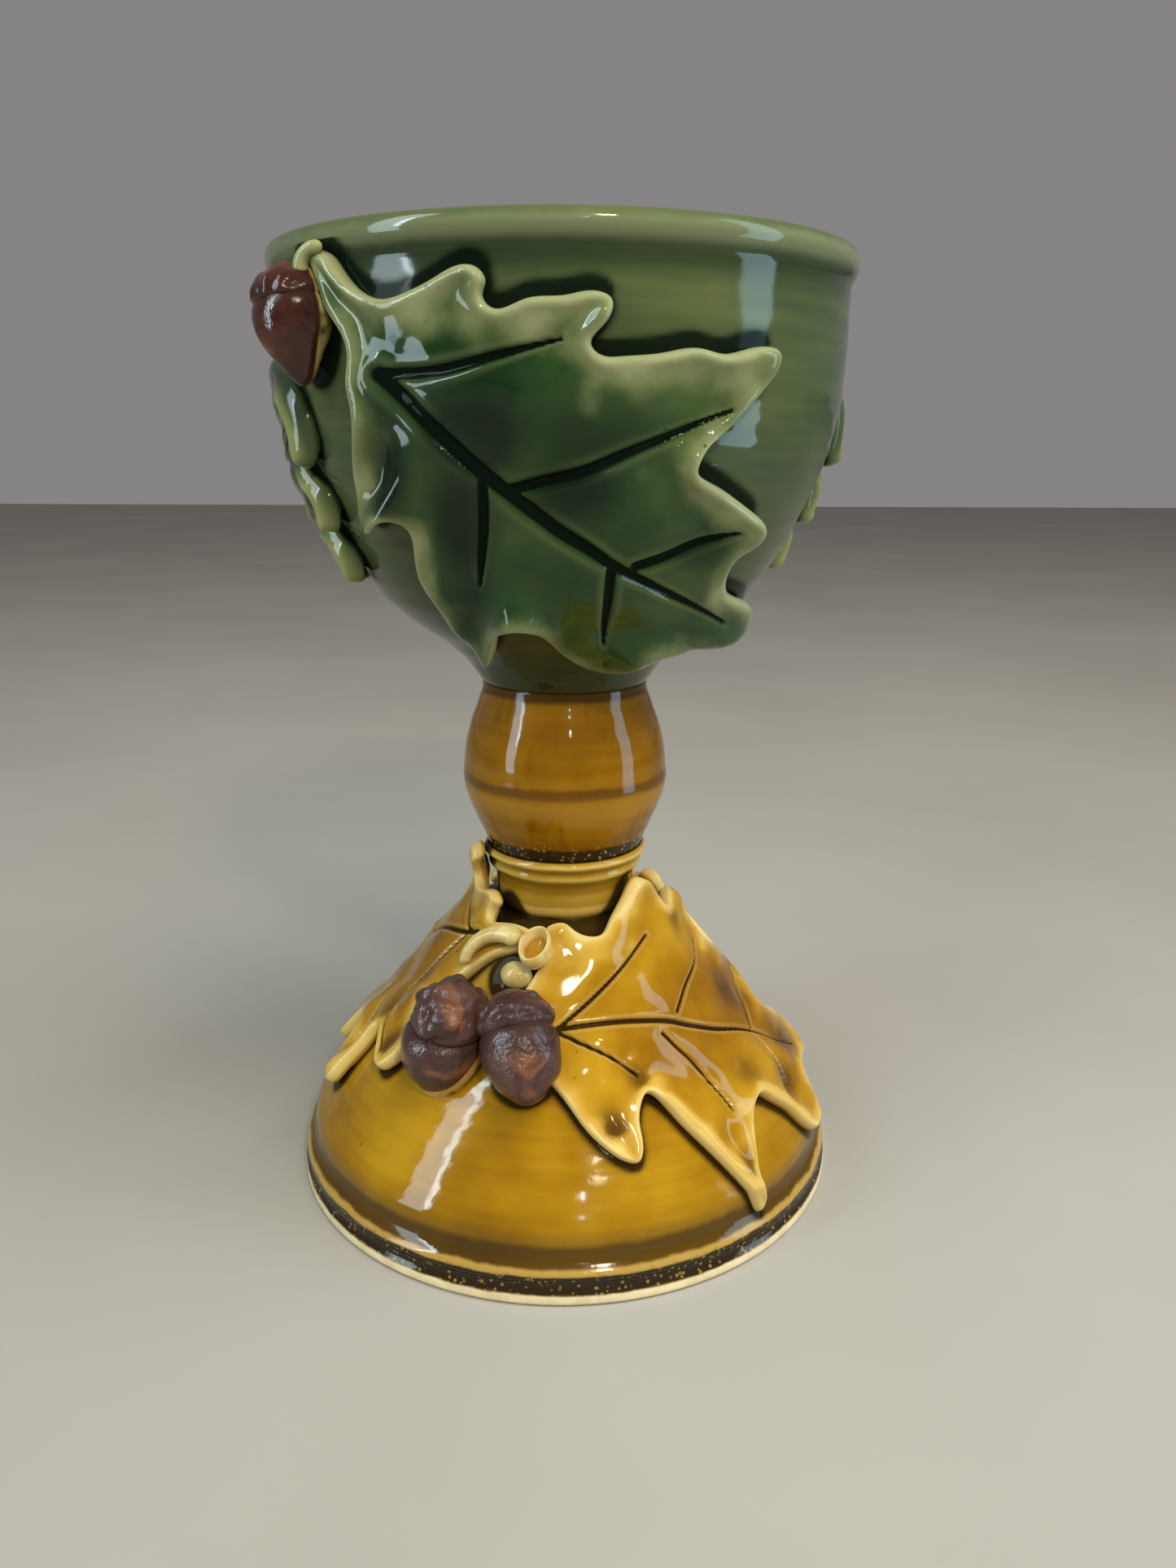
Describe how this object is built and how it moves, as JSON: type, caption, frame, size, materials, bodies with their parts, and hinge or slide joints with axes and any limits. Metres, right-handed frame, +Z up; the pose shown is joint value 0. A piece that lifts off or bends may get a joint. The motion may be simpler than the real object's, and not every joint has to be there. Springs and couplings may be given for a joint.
{
  "type": "footed stoneware goblet",
  "caption": "Tall glazed stoneware goblet with a deep bowl, a bulbous hollow stem and a flared conical foot, decorated with raised oak leaves and acorns.",
  "frame": {"origin": "centre of the foot ring, on the plane that the goblet stands on", "axes": "+Z up along the axis the pieces were thrown about, -Y towards the large leaf that faces the viewer, +X to its right"},
  "size_m": [0.1256, 0.1256, 0.2],
  "materials": {
    "bowl_glaze": "glossy olive green glaze, darker where it pools, iron tint low down",
    "bowl_leaf_glaze": "glossy green glaze, pale yellow green on raised edges and near black in the veins",
    "stem_glaze": "glossy amber glaze with throwing rings and a dark speckled groove",
    "foot_glaze": "glossy amber glaze, dark brown in the groove, bare cream clay at the ring",
    "foot_leaf_glaze": "glossy amber glaze, cream on raised edges and dark brown in the veins",
    "bowl_acorn_glaze": "red brown glaze breaking to orange brown",
    "foot_acorn_glaze": "dark purple brown glaze with a copper sheen",
    "stalk_glaze": "cream green glaze",
    "twig_glaze": "cream and amber glaze"
  },
  "bodies": {
    "root": {"bowl": "bowl_glaze", "bowl_leaf_front": "bowl_leaf_glaze", "bowl_leaf_back": "bowl_leaf_glaze", "bowl_leaf_left": "bowl_leaf_glaze", "bowl_leaf_right": "bowl_leaf_glaze", "knop": "stem_glaze", "foot": "foot_glaze", "foot_leaf_right": "foot_leaf_glaze", "foot_leaf_left": "foot_leaf_glaze", "foot_leaf_back": "foot_leaf_glaze", "acorn_left_nut": "bowl_acorn_glaze", "acorn_left_cap": "bowl_acorn_glaze", "acorn_left_stalk": "stalk_glaze", "acorn_right_nut": "bowl_acorn_glaze", "acorn_right_cap": "bowl_acorn_glaze", "acorn_right_stalk": "stalk_glaze", "foot_acorn_left_nut": "foot_acorn_glaze", "foot_acorn_left_cap": "foot_acorn_glaze", "foot_acorn_right_nut": "foot_acorn_glaze", "foot_acorn_right_cap": "foot_acorn_glaze", "empty_acorn_cup": "twig_glaze", "twig": "twig_glaze", "bud": "twig_glaze"}
  },
  "joints": []
}
